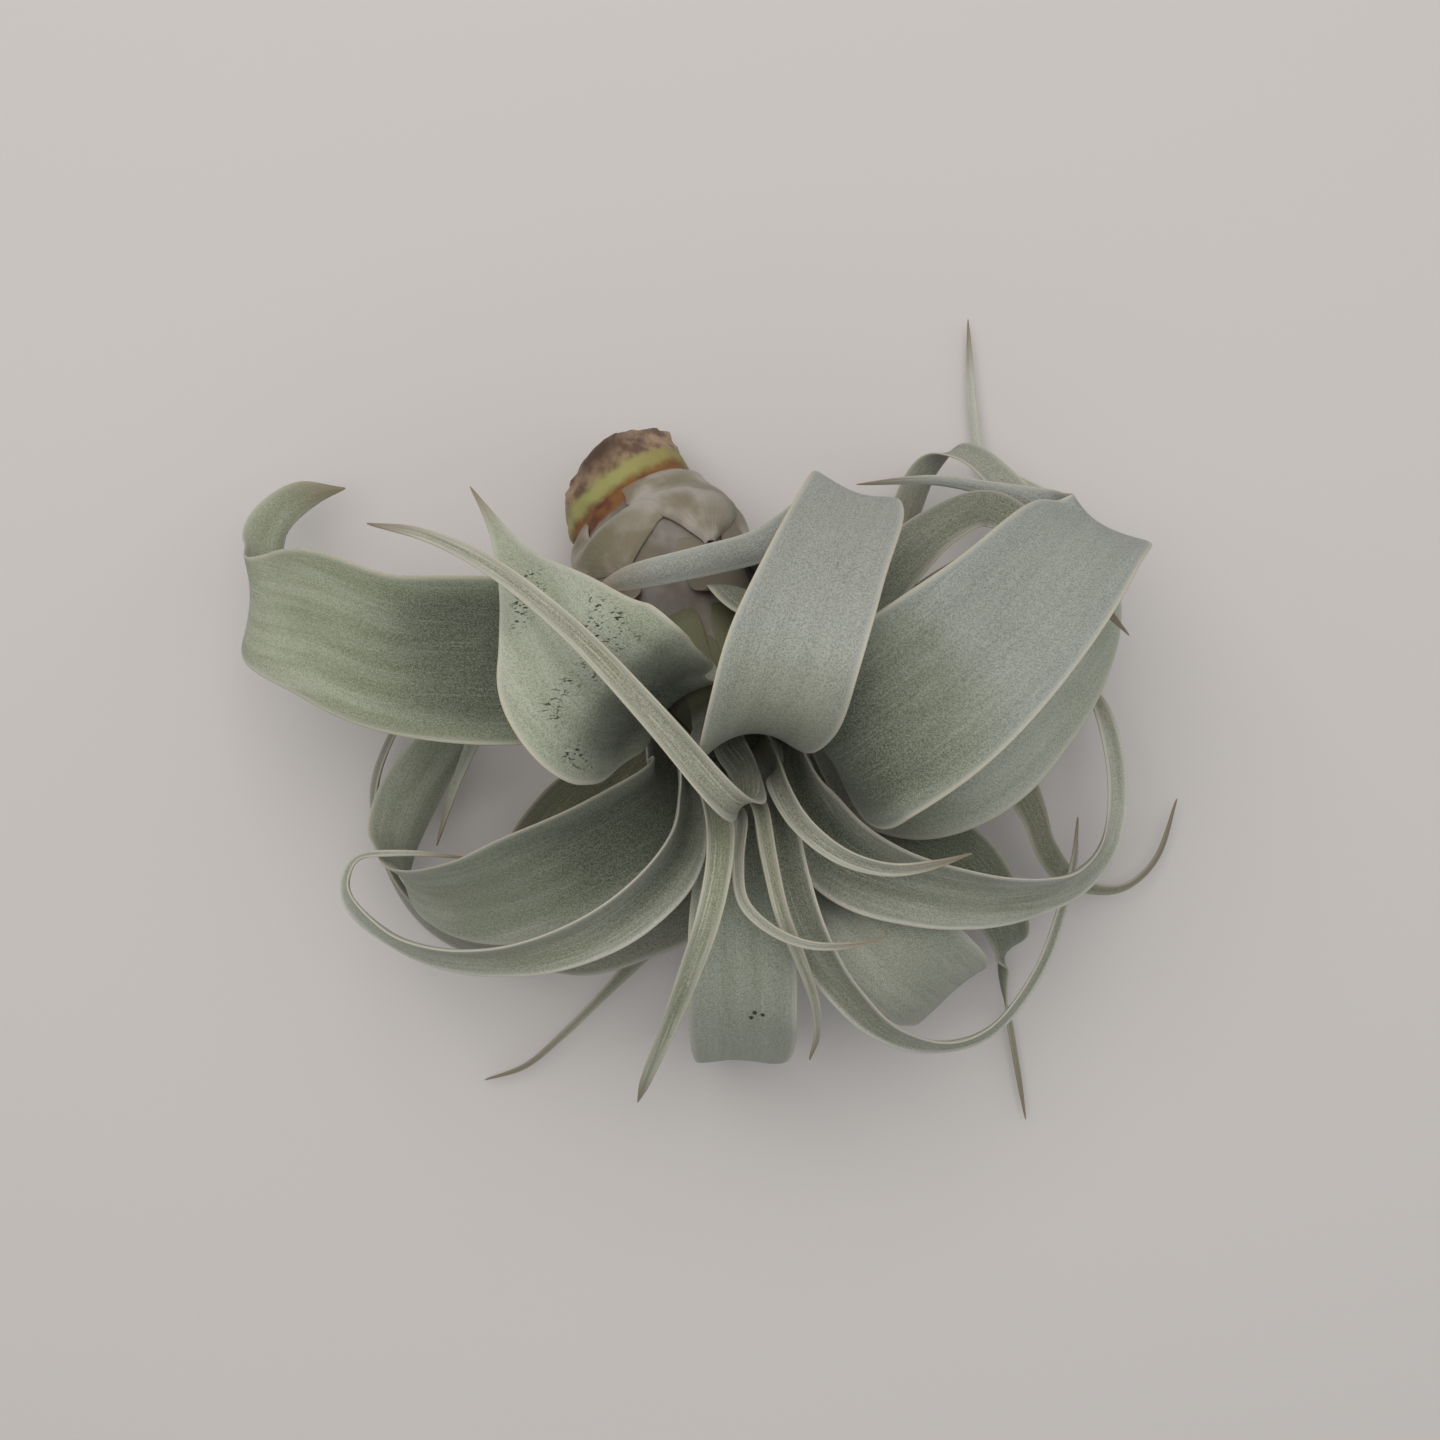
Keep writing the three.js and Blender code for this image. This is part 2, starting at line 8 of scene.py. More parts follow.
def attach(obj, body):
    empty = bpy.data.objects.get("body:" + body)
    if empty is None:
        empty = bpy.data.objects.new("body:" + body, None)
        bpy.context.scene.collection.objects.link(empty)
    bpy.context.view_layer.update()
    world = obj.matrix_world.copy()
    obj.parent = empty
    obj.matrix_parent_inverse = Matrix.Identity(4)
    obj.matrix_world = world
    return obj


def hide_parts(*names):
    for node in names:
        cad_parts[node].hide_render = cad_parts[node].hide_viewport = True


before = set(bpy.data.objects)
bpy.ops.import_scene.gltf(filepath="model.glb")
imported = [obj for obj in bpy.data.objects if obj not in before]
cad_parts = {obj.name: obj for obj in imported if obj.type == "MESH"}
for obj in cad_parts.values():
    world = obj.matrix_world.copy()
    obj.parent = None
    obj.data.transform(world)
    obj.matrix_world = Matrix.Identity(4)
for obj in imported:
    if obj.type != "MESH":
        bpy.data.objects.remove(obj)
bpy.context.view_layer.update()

# Camera, daylight and floor.
# The plant lies on a plain pale surface and is seen from straight above, in the soft light of an
# overcast sky that comes mostly from overhead and a little from the top of the picture.
CAMERA_HEIGHT = 0.28
FOCAL_LENGTH = 1750        # in pixels of a picture 1440 pixels wide
PICTURE_WIDTH = 1440
PLANT_MIDDLE = Vector((0, 0, 0.03))
FLOOR_REACH = 1.2          # from the plant's middle to the floor's edge
FLOOR_LEVEL = -0.0001      # just below the plant, so that the two never share a surface

lens = bpy.data.cameras.new("camera")
lens.sensor_width = 36
lens.lens = lens.sensor_width * FOCAL_LENGTH / PICTURE_WIDTH
lens.clip_start = 0.01
camera = bpy.data.objects.new("camera", lens)
camera.location = (-0.0003, -0.0001, CAMERA_HEIGHT)
bpy.context.collection.objects.link(camera)
bpy.context.scene.camera = camera
bpy.context.scene.view_settings.view_transform = "Standard"

sky = bpy.data.worlds.new("sky")
sky.use_nodes = True
sky.node_tree.nodes["Background"].inputs["Color"].default_value = (0.93, 0.97, 1.0, 1)
sky.node_tree.nodes["Background"].inputs["Strength"].default_value = 0.42
bpy.context.scene.world = sky


def window(name, place, size, power, colour):
    """A soft square light that looks at the middle of the plant."""
    light = bpy.data.lights.new(name, "AREA")
    light.size = size
    light.energy = power
    light.color = colour
    lamp = bpy.data.objects.new(name, light)
    lamp.location = place
    lamp.rotation_euler = (PLANT_MIDDLE - Vector(place)).to_track_quat("-Z", "Y").to_euler()
    bpy.context.collection.objects.link(lamp)


window("window_above", (-0.08, 0.20, 0.60), 0.60, 3.0, (1.0, 0.98, 0.95))
window("window_right", (0.45, 0.05, 0.5), 0.5, 0.4, (0.95, 0.98, 1.0))

sheet = bmesh.new()
bmesh.ops.create_grid(sheet, x_segments=4, y_segments=4, size=FLOOR_REACH)
bmesh.ops.translate(sheet, verts=sheet.verts, vec=(0, 0, FLOOR_LEVEL))
floor_mesh = bpy.data.meshes.new("floor")
sheet.to_mesh(floor_mesh)
sheet.free()
floor = bpy.data.objects.new("floor", floor_mesh)
bpy.context.collection.objects.link(floor)
paper = bpy.data.materials.new("pale_floor")
paper.use_nodes = True
paper.node_tree.nodes["Principled BSDF"].inputs["Base Color"].default_value = (0.56, 0.525, 0.505, 1)
paper.node_tree.nodes["Principled BSDF"].inputs["Roughness"].default_value = 0.9
floor_mesh.materials.append(paper)

# Stem and bulb.
# A short stem cut off brown and woody, green and red-brown where it is fresh, that swells into a
# bulb of pale leaf bases, each grown round the next. It lies on a flat spot under the stub.
MM = 0.001                 # the plant's sizes are in millimetres, as on its bare frame
STEM_FOOT = Vector((-16.1, 42.6, 3.8))
THROAT = Vector((3.1, -7.6, 43))
# distance from the foot along the axis, how far the middle lies above the axis and to its right,
# how far the ring leans, and radius
STEM_RINGS = [
    (2.4, 3.1, 0.8, 24, 1.4), (2.8, 3, 0.7, 24, 4), (4, 2.8, 0, 24, 7.2), (5.8, 2, -1, 24, 9.4),
    (8.4, 0.7, -1.7, 24, 10.4), (11.4, -0.4, -1.6, 24, 10.6), (14, -1.2, -1.3, 24, 10.7),
    (16.4, -1.6, -0.9, 22, 11), (18.3, -1.8, -0.6, 18, 11.5), (21, -1.4, -0.3, 12, 12.3),
    (24.5, -0.6, 0, 5, 12.9), (29, 0, 0, 0, 12.5), (36, 0, 0, 0, 11), (44, 0, 0, 0, 9.4),
    (50, 0, 0, 0, 8.2), (55, 0, 0, 0, 6.8), (59, 0, 0, 0, 5), (62, 0, 0, 0, 2.4),
    (63, 0, 0, 0, 0.4),
]
LEAN_TOWARDS = -30         # the side of the stem that the rings of the stub lean to
axis = (THROAT - STEM_FOOT).normalized()
upper = (Vector((0, 0, 1)) - axis * axis.z).normalized()
side = upper.cross(axis)


def around_stem(degrees):
    return upper * math.cos(math.radians(degrees)) + side * math.sin(math.radians(degrees))


hinge = around_stem(LEAN_TOWARDS).cross(axis)


def ring_at(along):
    """Middle above the axis and aside of it, lean and radius of the stem, between its rings."""
    along = min(max(along, STEM_RINGS[0][0]), STEM_RINGS[-1][0])
    for before, after in zip(STEM_RINGS, STEM_RINGS[1:]):
        if along <= after[0]:
            part = (along - before[0]) / (after[0] - before[0])
            return [v + (w - v) * part for v, w in zip(before[1:], after[1:])]


def stem_radius(along):
    return ring_at(along)[3]


def on_stem(along, radius, degrees):
    above, aside, lean, _ = ring_at(along)
    outward = Quaternion(hinge, math.radians(lean)) @ around_stem(degrees)
    return STEM_FOOT + axis * along + upper * above + side * aside + outward * radius


def smooth(low, high, value):
    part = min(1, max(0, (value - low) / (high - low)))
    return part * part * (3 - 2 * part)


def finished_piece(name, skin, material):
    """The object made of a skin, standing in the frame for the solid of the same name."""
    mesh = bpy.data.meshes.new(name)
    skin.to_mesh(mesh)
    skin.free()
    mesh.materials.append(material)
    mesh.polygons.foreach_set("use_smooth", [True] * len(mesh.polygons))
    piece = bpy.data.objects.new(name + "_finish", mesh)
    bpy.context.collection.objects.link(piece)
    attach(piece, "root")
    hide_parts(name)
    return piece


class Signal:
    """What a socket gives. Operators on it add the Math nodes that work them out."""

    def __init__(self, finish, socket):
        self.finish = finish
        self.socket = socket

    def math(self, operation, first, second):
        return self.finish.node("ShaderNodeMath", {"operation": operation}, {0: first, 1: second})

    def __add__(self, other):
        return self.math("ADD", self, other)

    def __sub__(self, other):
        return self.math("SUBTRACT", self, other)

    def __rsub__(self, other):
        return self.math("SUBTRACT", other, self)

    def __mul__(self, other):
        return self.math("MULTIPLY", self, other)

    __radd__ = __add__
    __rmul__ = __mul__


class Finish:
    """A material being built round its Principled shader."""

    def __init__(self, name, sheen):
        self.material = bpy.data.materials.new(name)
        self.material.use_nodes = True
        self.tree = self.material.node_tree
        self.shader = self.tree.nodes["Principled BSDF"]
        self.shader.inputs["Sheen Weight"].default_value = sheen
        self.shader.inputs["Sheen Roughness"].default_value = 0.5
        self.shader.inputs["Specular IOR Level"].default_value = 0.3

    def feed(self, socket, value):
        if isinstance(value, Signal):
            self.tree.links.new(value.socket, socket)
        else:
            socket.default_value = value

    def node(self, kind, settings, inputs, output=0):
        node = self.tree.nodes.new(kind)
        for setting, value in settings.items():
            setattr(node, setting, value)
        for name, value in inputs.items():
            self.feed(node.inputs[name], value)
        return Signal(self, node.outputs[output])

    def attribute(self, name):
        return self.node("ShaderNodeAttribute", {"attribute_name": name}, {}, "Fac")

    def place(self):
        return self.node("ShaderNodeTexCoord", {}, {}, "Object")

    def vector(self, x, y, z):
        return self.node("ShaderNodeCombineXYZ", {}, {0: x, 1: y, 2: z})

    def cloud(self, place, scale, detail=2.0):
        return self.node("ShaderNodeTexNoise", {}, {"Vector": place, "Scale": scale, "Detail": detail})

    def band(self, value, low, high):
        return self.node("ShaderNodeMapRange", {"interpolation_type": "SMOOTHSTEP"},
                         {"Value": value, "From Min": low, "From Max": high})

    def mix(self, factor, first, second):
        first = first if isinstance(first, Signal) else (*first, 1)
        second = second if isinstance(second, Signal) else (*second, 1)
        return self.node("ShaderNodeMix", {"data_type": "RGBA"}, {0: factor, 6: first, 7: second}, 2)

    def coat(self, colour, roughness, height, depth):
        """Colour and roughness, and a bump of a height from 0 to 1 that is depth mm deep."""
        self.feed(self.shader.inputs["Base Color"], colour)
        self.feed(self.shader.inputs["Roughness"], roughness)
        bump = self.node("ShaderNodeBump", {},
                         {"Height": height, "Distance": depth * MM, "Strength": 1})
        self.feed(self.shader.inputs["Normal"], bump)
        return self.material


GAMMA = 2.2
DAYLIGHT = 0.9             # how bright a white surface looks in this scene's light


def seen(red, green, blue):
    """A colour given as it looks, 0 to 255, in the linear values that shaders take."""
    return tuple((part / 255) ** GAMMA / DAYLIGHT for part in (red, green, blue))


STUB = 15                  # where the stub ends and the bulb's leaf bases begin
RIDGE = 346                # the side on which the cut end stands up in a charred ridge
HOLLOW = 45                # the side on which it dips
GREENEST = -40             # the side on which the green ring is brightest
# distances over which one part of the stem turns into the next
CUT_END = (6, 10)
WOODY_TO_GREEN = (8.6, 10.2)
GREEN_TO_RED = (11.2, 12.8)
PAPERY_TO_THROAT = (50, 58)


def peak(value, middle, width):
    return math.exp(-((value - middle) / width) ** 2)


def stem_point(vert, column, row):
    first = STEM_RINGS[0][0]
    last = STEM_RINGS[-1][0]
    along = first + (last - first) * row ** 0.8
    degrees = 360 * column
    from_ridge = (degrees - RIDGE + 180) % 360 - 180
    radius = stem_radius(along) if 0 < row < 1 else 0
    place = on_stem(along, radius, degrees)
    stub = 1 - smooth(STUB - 2, STUB + 1, along)
    cut = 1 - smooth(*CUT_END, along)
    rough = 0.5 * noise.noise(place * 0.35) + 0.8 * cut * noise.noise(place * 0.6)
    rough += 0.3 * cut * noise.noise(place * 1.7)
    ridge = 1.5 * cut * peak(from_ridge, 0, 20) - 1.2 * cut * peak(degrees, HOLLOW, 30)
    groove = -0.3 * peak(along, 12.6, 0.7) - 0.25 * peak(along, 9.6, 0.6)
    creases = (1 - stub) * 0.25 * noise.noise(Vector((degrees / 14, along / 16, 3)))
    radius += (stub * (rough + groove) + ridge + creases) * min(1, radius / 3)
    vert.co = on_stem(along, radius, degrees)
    vert.co.z = max(0, vert.co.z)
    vert[stem_along] = along
    vert[stem_around] = math.cos(math.radians(degrees - GREENEST))
    vert[stem_charred] = cut * peak(from_ridge, 0, 28)


stem_skin = bmesh.new()
stem_along = stem_skin.verts.layers.float.new("along")
stem_around = stem_skin.verts.layers.float.new("around")
stem_charred = stem_skin.verts.layers.float.new("charred")
bmesh.ops.create_grid(stem_skin, x_segments=150, y_segments=130, size=0.5)
for vert in stem_skin.verts:
    stem_point(vert, vert.co.x + 0.5, vert.co.y + 0.5)
bmesh.ops.scale(stem_skin, verts=stem_skin.verts, vec=(MM, MM, MM))
bmesh.ops.remove_doubles(stem_skin, verts=stem_skin.verts, dist=0.02 * MM)
bmesh.ops.recalc_face_normals(stem_skin, faces=stem_skin.faces)


def stem_finish():
    """Wood, a green ring, red-brown, papery and at last dark at the throat, by the distance along and
    frayed by clouds; the dark throat is partly painted shade.
    """
    finish = Finish("stem_and_bulb", sheen=0.1)
    place = finish.place()
    along = finish.attribute("along")
    around = finish.attribute("around")
    blotch = finish.cloud(place, 190)
    fine = finish.cloud(place, 900, 4)
    level = along + (blotch - 0.5) * 2.2 + (fine - 0.5) * 0.9
    grime = fine * 0.35 + blotch * 0.65
    woody = finish.mix(finish.band(grime, 0.38, 0.6), seen(94, 74, 60), seen(148, 123, 99))
    woody = finish.mix(finish.attribute("charred") * 1.1, woody, seen(74, 56, 46))
    green = finish.mix(finish.band(around, -0.5, 0.9), seen(128, 114, 66), seen(138, 134, 84))
    red = finish.mix(finish.band(blotch, 0.38, 0.55), seen(86, 50, 38), seen(112, 76, 42))
    stub = finish.mix(finish.band(level, *WOODY_TO_GREEN), woody, green)
    stub = finish.mix(finish.band(level, *GREEN_TO_RED), stub, red)
    lengthwise = finish.node("ShaderNodeMapping", {}, {"Vector": place, "Scale": (1, 0.25, 1)})
    veins = finish.cloud(lengthwise, 420)
    tint = finish.mix(finish.band(blotch, 0.42, 0.66), seen(124, 117, 110), seen(104, 96, 82))
    papery = finish.mix(finish.band(veins, 0.4, 0.75) * 0.6, tint, seen(96, 90, 84))
    # Painted shade: deep in the heart of the leaves the stem turns dark towards the throat; partly the
    # green of the inner leaf bases, partly shade that the leaves throw there.
    throat = finish.mix(finish.band(level, *PAPERY_TO_THROAT), papery, seen(60, 62, 44))
    colour = finish.mix(finish.band(level, STUB, STUB + 1.2), stub, throat)
    return finish.coat(colour, 0.72 + 0.2 * fine, fine * 0.6 + veins * 0.4, 0.2)


finished_piece("stem", stem_skin, stem_finish())

# Papery scales.
# Dry outer leaf bases, thin as paper, grey-white with brown and lavender in them. They hug the
# bulb from just above the stem and end in a frayed point.
PAPER = 0.45               # thickness of a scale
NARROWS_AT = 0.4           # share of its length after which a scale narrows
LEAST_WRAP = 3             # half angle that is left at its point
# first and last distance along the stem, angle round it, half of the angle it wraps, and how far
# it stands off the stem
SCALES = {
    "scale_1": (16.8, 34, 333, 53, 1.1),
    "scale_2": (16.2, 33, 100, 50, 1.1),
    "scale_3": (16, 32, 212, 50, 1.1),
    "scale_4": (13, 34, 36, 42, 2.6),
    "scale_5": (13.3, 31, 280, 34, 2.5),
}


def scale_finish(number):
    finish = Finish(f"papery_scale_{number}", sheen=0.15)
    place = finish.place()
    across = finish.attribute("across")
    along = finish.attribute("along")
    fibres = finish.cloud(finish.vector(across * 30, along * 0.15, float(number)), 1, 3)
    patch = finish.cloud(place, 120, 3)
    colour = finish.mix(finish.band(patch, 0.4, 0.6), seen(152, 143, 134), seen(116, 107, 90))
    colour = finish.mix(finish.band(fibres, 0.5, 0.8) * 0.3, colour, seen(106, 97, 78))
    olive = finish.band(finish.cloud(place, 75, 1), 0.5, 0.66)
    colour = finish.mix(olive * 0.7, colour, seen(106, 100, 78))
    colour = finish.mix(finish.band(along, 1.6, 0) * 0.5, colour, seen(124, 92, 66))
    return finish.coat(colour, 0.7 + 0.2 * fibres, fibres, 0.15)


def papery_scale(name, first, last, around, wrap, lift):
    number = int(name[-1])

    def scale_point(vert, column, row):
        distance = first + (last - first) * row
        rise = smooth(0, 0.1, row)
        hug = 1 - 0.75 * abs(2 * column - 1) ** 5
        radius = stem_radius(distance) + rise * hug * (0.3 + 0.4 * lift) - 0.3 * (1 - rise)
        narrowing = max(0, (row - NARROWS_AT) / (1 - NARROWS_AT)) ** 1.6
        frayed = 1 + 0.06 * noise.noise(Vector((row * 9, column * 3, number)))
        half = max(wrap * (1 - narrowing), LEAST_WRAP) * frayed
        radius += 0.15 * rise * noise.noise(Vector((row * 5, column * 4, number + 9)))
        vert.co = on_stem(distance, radius, around + half * (2 * column - 1))
        vert.co.z = max(vert.co.z, PAPER / 2)
        vert[layers["across"]] = column
        vert[layers["along"]] = (last - first) * row

    skin = bmesh.new()
    layers = {layer: skin.verts.layers.float.new(layer) for layer in ("across", "along")}
    bmesh.ops.create_grid(skin, x_segments=28, y_segments=34, size=0.5)
    for vert in skin.verts:
        scale_point(vert, vert.co.x + 0.5, vert.co.y + 0.5)
    bmesh.ops.scale(skin, verts=skin.verts, vec=(MM, MM, MM))
    bmesh.ops.recalc_face_normals(skin, faces=skin.faces)
    piece = finished_piece(name, skin, scale_finish(number))
    paper = piece.modifiers.new("paper", "SOLIDIFY")
    paper.thickness = PAPER * MM
    paper.offset = 0
    round_edge = piece.modifiers.new("round_edge", "SUBSURF")
    round_edge.levels = 1
    round_edge.render_levels = 1


for name, sizes in SCALES.items():
    papery_scale(name, *sizes)

# Broad leaves.
# Thick soft blades, channelled at the base and flatter further out, that curl back and narrow to
# a thread. A grey bloom of scales covers the green, and the margins are thin and pale.
CLEARANCE = 0.3            # between a leaf's base and the bulb
BLADE = 0.7                # thickness of a leaf
THIN_MARGIN = 0.45         # share of it that is left at the margins
MARGIN = 2                 # width over which a margin thins
SHEATH = 5                 # length of a leaf's base along the stem
# rows of a leaf's base in sheath lengths, from where it is sunk into the bulb to its upper edge
BASE_ROWS = (-1.8, -1.2, -0.6, 0, 0.5, 1)
OPENING = 0.42             # share of the way to the blade's width that the sheath has opened
STEPS = 5                  # sections between two rows of a path
THREAD = 0.9               # least width of a leaf, along its thread
TIP = 6                    # length over which a leaf's end comes to a point
RISES_FREE = (12, 30)      # distances over which a leaf comes free of the bulb and can wave
TAIL = 15                  # length of its end, over which the waves fade again
RIPPLE = 9                 # length that the waves of a margin have
SWELL = 0.25               # how far the surface of a blade rises and sinks
BROADEST_SWELL = 12        # width from which a blade swells in full


def curve_through(rows):
    """Smooth curve through rows of numbers, spaced by the root of the distance between them."""
    gaps = [math.sqrt(math.dist(a[:3], b[:3])) for a, b in zip(rows, rows[1:])]
    last = len(rows) - 1
    slopes = []
    for i, row in enumerate(rows):
        before = [(v - w) / gaps[i - 1] for v, w in zip(row, rows[i - 1])] if i > 0 else None
        after = [(w - v) / gaps[i] for v, w in zip(row, rows[i + 1])] if i < last else None
        if before and after:
            share = gaps[i] / (gaps[i] + gaps[i - 1])
            slopes.append([b * share + a * (1 - share) for b, a in zip(before, after)])
        else:
            slopes.append(before or after)
    points = []
    for i in range(last):
        for j in range(STEPS):
            t = j / STEPS
            u = 1 - t
            points.append([
                u * u * (1 + 2 * t) * v + t * t * (3 - 2 * t) * w + t * u * gaps[i] * (u * m - t * n)
                for v, w, m, n in zip(rows[i], rows[i + 1], slopes[i], slopes[i + 1])])
    points.append(list(rows[last]))
    return points


def facing(azimuth, elevation):
    flat = math.cos(math.radians(elevation))
    return Vector((flat * math.cos(math.radians(azimuth)), flat * math.sin(math.radians(azimuth)),
                   math.sin(math.radians(elevation))))


def leaf_sections(seat, path):
    """Middle, face, across, width, half angle and distance of each section of a leaf."""
    along, around, seat_width, slope = seat
    outward = around_stem(around)
    rows = []
    for part in BASE_ROWS:
        sunk = min(0, part) * 0.5
        place = along + SHEATH * part
        radius = stem_radius(place if part < 0 else along) + CLEARANCE + BLADE / 2
        radius += slope * SHEATH * max(0, part) + sunk
        width = seat_width + OPENING * max(0, part) * (path[0][5] - seat_width)
        width *= 1 - 0.12 * min(0, part)
        rows.append([*on_stem(place, radius, around), *(-outward), width, width / (2 * radius), 1])
    for x, y, z, azimuth, elevation, width, channel in path:
        rows.append([x, y, z, *facing(azimuth, elevation), width, math.radians(channel), 0])
    curve = curve_through(rows)
    middles = [Vector(point[:3]) for point in curve]
    steps = [(b - a).length for a, b in zip(middles, middles[1:])]
    length = sum(steps)
    sections = []
    for i, point in enumerate(curve):
        forward = (middles[min(i + 1, len(middles) - 1)] - middles[max(i - 1, 0)]).normalized()
        face = Vector(point[3:6]).normalized()
        sheath = min(1, max(0, point[8]))
        face = (face - forward * face.dot(forward) * (1 - sheath)).normalized()
        distance = sum(steps[:i])
        pointed = min(1, max(0.02, (length - distance) / TIP)) ** 0.6
        sections.append((middles[i], face, forward.cross(face).normalized(),
                         max(point[6], THREAD) * pointed, max(point[7], 0.05), distance))
    return sections, length


def leaf(name, seat, path, finish, wave=0.0, cells=10):
    """One leaf as its bare solid runs, with rounded margins that wave by some millimetres."""
    sections, length = leaf_sections(seat, path)
    number = int(name[-2:])
    skin = bmesh.new()
    layers = {layer: skin.verts.layers.float.new(layer)
              for layer in ("aside", "along", "to_margin", "to_tip")}
    fullness = skin.verts.layers.deform.verify()
    rows = len(sections) - 1
    bmesh.ops.create_grid(skin, x_segments=cells, y_segments=rows, size=0.5)
    for vert in skin.verts:
        column = vert.co.x + 0.5
        middle, face, across, width, angle, distance = sections[round((vert.co.y + 0.5) * rows)]
        turn = angle * (2 * column - 1)
        radius = width / (2 * angle)
        place = middle + across * radius * math.sin(turn) + face * radius * (1 - math.cos(turn))
        edge = abs(2 * column - 1)
        to_margin = width * (1 - edge) / 2
        free = smooth(*RISES_FREE, distance) * smooth(0, TAIL, length - distance)
        ripple = noise.noise(Vector((distance / RIPPLE, 3 * column, number)))
        place += face * wave * free * edge ** 2 * ripple
        place += face * SWELL * free * min(1, width / BROADEST_SWELL) * noise.noise(place / 7)
        vert.co = place
        vert.co.z = max(vert.co.z, BLADE / 2)
        vert[layers["aside"]] = (column - 0.5) * width
        vert[layers["along"]] = distance
        vert[layers["to_margin"]] = to_margin
        vert[layers["to_tip"]] = length - distance
        vert[fullness][0] = smooth(0, MARGIN, to_margin)
    bmesh.ops.scale(skin, verts=skin.verts, vec=(MM, MM, MM))
    piece = finished_piece(name, skin, finish)
    piece.vertex_groups.new(name="fullness")
    blade = piece.modifiers.new("blade", "SOLIDIFY")
    blade.thickness = BLADE * MM
    blade.offset = 0
    blade.vertex_group = "fullness"
    blade.thickness_vertex_group = THIN_MARGIN
    margins = piece.modifiers.new("round_margins", "SUBSURF")
    margins.levels = 2
    margins.render_levels = 2


GREEN_FOOT = (96, 95, 74)
PAPERY_FOOT = (112, 104, 90)
NO_FROST = 200             # longer than any leaf


def leaf_finish(name, body, shade, rim, foot=GREEN_FOOT, streaks=0.12, frill=0.25, flecks=0.1,
                painted_shade_reach=16, frost=NO_FROST, tip_length=12, marks=()):
    """Green leaf under a grey bloom, dull at its foot and frosted from frost on, and darker from its
    base out to a given distance: partly the greener base of the leaf itself, partly painted shade of
    the hollow heart.

    Marks are dark spots at places seen from above.
    """
    finish = Finish(name, sheen=0.08)
    place = finish.place()
    aside = finish.attribute("aside")
    along = finish.attribute("along")
    to_margin = finish.attribute("to_margin")
    to_tip = finish.attribute("to_tip")
    grain = finish.cloud(place, 3800, 1)
    dust = finish.cloud(place, 7600, 0)
    patch = finish.cloud(place, 60, 3)
    veins = finish.cloud(finish.vector(aside * 3.4, along * 0.09, 0.0), 1, 2)
    lanes = finish.cloud(finish.vector(aside * 0.4, along * 0.03, 4.0), 1, 3)
    tone = finish.band(patch * 0.4 + lanes * 0.6, 0.38, 0.6)
    colour = finish.mix(tone, seen(*body), seen(*shade))
    colour = finish.mix(finish.band(to_margin + patch * 4, 6, 1) * 0.4, colour, seen(*rim))
    frosted = finish.band(along + patch * 16, frost + 8, frost + 24)
    colour = finish.mix(frosted * 0.5, colour, seen(136, 138, 140))
    # Painted shade: from the base out, the blade is darkened most in the middle of its channel, for
    # the hollow heart that light hardly reaches; partly also the greener base of the leaf itself.
    base = finish.band(along + patch * 14, painted_shade_reach + 20, painted_shade_reach - 4)
    channel = 0.4 + 0.6 * finish.band(to_margin + patch * 2, 1.5, 6)
    colour = finish.mix(base * channel * 0.95, colour, seen(50, 58, 40))
    colour = finish.mix(finish.band(veins, 0.5, 0.75) * streaks, colour, seen(96, 98, 72))
    colour = finish.mix(finish.band(veins, 0.5, 0.28) * streaks, colour, seen(176, 174, 154))
    bloom = finish.band(grain * 0.6 + dust * 0.4, 0.3, 0.7)
    colour = finish.mix(bloom * 0.2, colour, seen(196, 196, 184))
    colour = finish.mix(finish.band(bloom, 0.6, 0.1) * 0.26, colour, seen(74, 80, 58))
    edge = finish.band(to_margin + (grain - 0.5) * 1.4, 0.9, 0.2)
    colour = finish.mix(edge * frill, colour, seen(190, 190, 180))
    drawn_out = finish.node("ShaderNodeMapping", {}, {"Vector": place, "Scale": (1, 2.4, 1)})
    dashes = finish.cloud(drawn_out, 1250)
    cluster = finish.band(finish.cloud(place, 90, 2), 0.5, 0.6) * finish.band(along, 14, 22)
    fleck = finish.band(dashes, 0.58, 0.63) * cluster * finish.band(to_margin, 1.0, 3) * flecks
    seen_flat = finish.node("ShaderNodeMapping", {}, {"Vector": place, "Scale": (1000, 1000, 0)})
    for x, y in marks:
        distance = finish.node("ShaderNodeVectorMath", {"operation": "DISTANCE"},
                               {0: seen_flat, 1: (x, y, 0)}, "Value")
        fleck = fleck + finish.band(distance + (grain - 0.5) * 0.3, 0.42, 0.2)
    colour = finish.mix(fleck, colour, seen(48, 52, 38))
    worn = finish.band(to_margin + grain * 0.2, 0.32, 0.16)
    colour = finish.mix(worn * 0.5, colour, seen(176, 164, 142))
    colour = finish.mix(finish.band(along, 15, 9), colour, seen(*foot))
    colour = finish.mix(finish.band(to_tip, tip_length, 0) * 0.8, colour, seen(112, 98, 78))
    height = grain * 0.3 + dust * 0.2 + veins * 0.5 - fleck * 0.5
    return finish.coat(colour, 0.62 + 0.25 * grain, height, 0.13)


